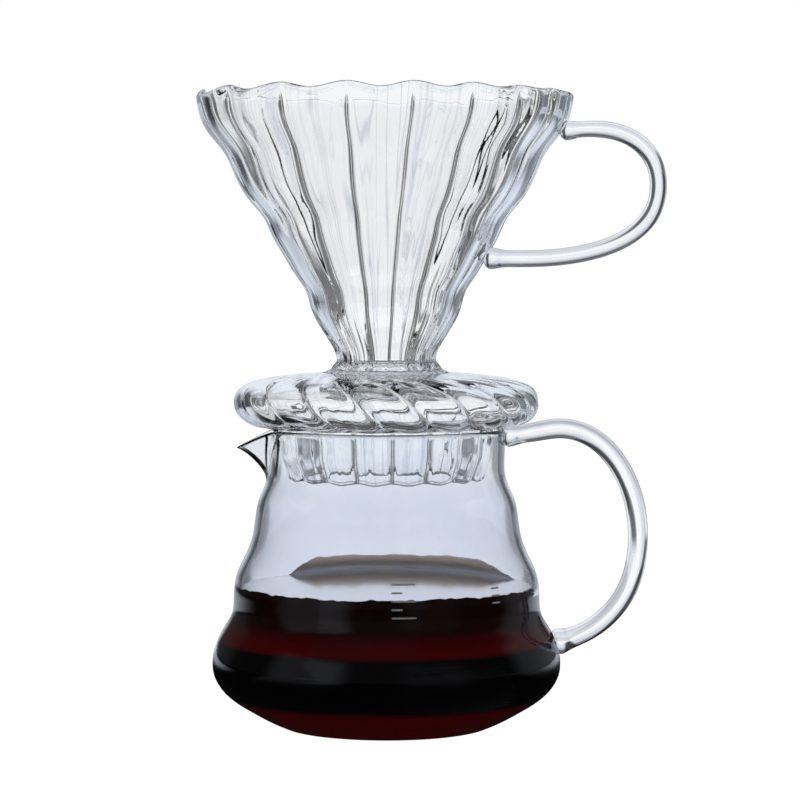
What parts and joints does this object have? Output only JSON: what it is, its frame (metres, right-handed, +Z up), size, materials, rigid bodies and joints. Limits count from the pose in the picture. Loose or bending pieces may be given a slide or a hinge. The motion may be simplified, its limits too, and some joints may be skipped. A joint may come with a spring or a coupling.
{
  "type": "pour over dripper on glass server",
  "caption": "Fluted glass pour-over cone with a swirl-ribbed ring foot, drip collar and side handle, lifting off a waisted glass server of coffee with a pouring lip and handle.",
  "frame": {"origin": "centre of the server's flat base, on the surface it stands on", "axes": "+Z up along the axis of cone and server, -X towards the pouring lip, +X towards both handles"},
  "size_m": [0.1476, 0.118, 0.1999],
  "materials": {
    "clear_glass": "clear blown borosilicate glass, glossy, edges look blue-grey",
    "handle_glass": "clear drawn glass rod, glossy, with fine streaks along it",
    "coffee": "black coffee, deep red-brown where the layer is thin, with tiny bubbles at the edge",
    "printed_ink": "grey fired-on ink bars, matte"
  },
  "bodies": {
    "server": {"carafe_body": "clear_glass", "carafe_handle": "handle_glass", "carafe_handle_upper_weld": "handle_glass", "carafe_handle_lower_weld": "handle_glass", "scale_marks": "printed_ink", "coffee": "coffee"},
    "dripper": {"dripper_cone": "clear_glass", "neck_weld": "clear_glass", "dripper_foot": "clear_glass", "drip_collar": "clear_glass", "dripper_handle": "handle_glass", "dripper_handle_upper_weld": "handle_glass", "dripper_handle_lower_weld": "handle_glass"}
  },
  "joints": [
    {"name": "dripper_lift", "type": "slide", "parent": "server", "child": "dripper", "axis": [0, 0, 1], "range_m": [0, 0.11]}
  ]
}
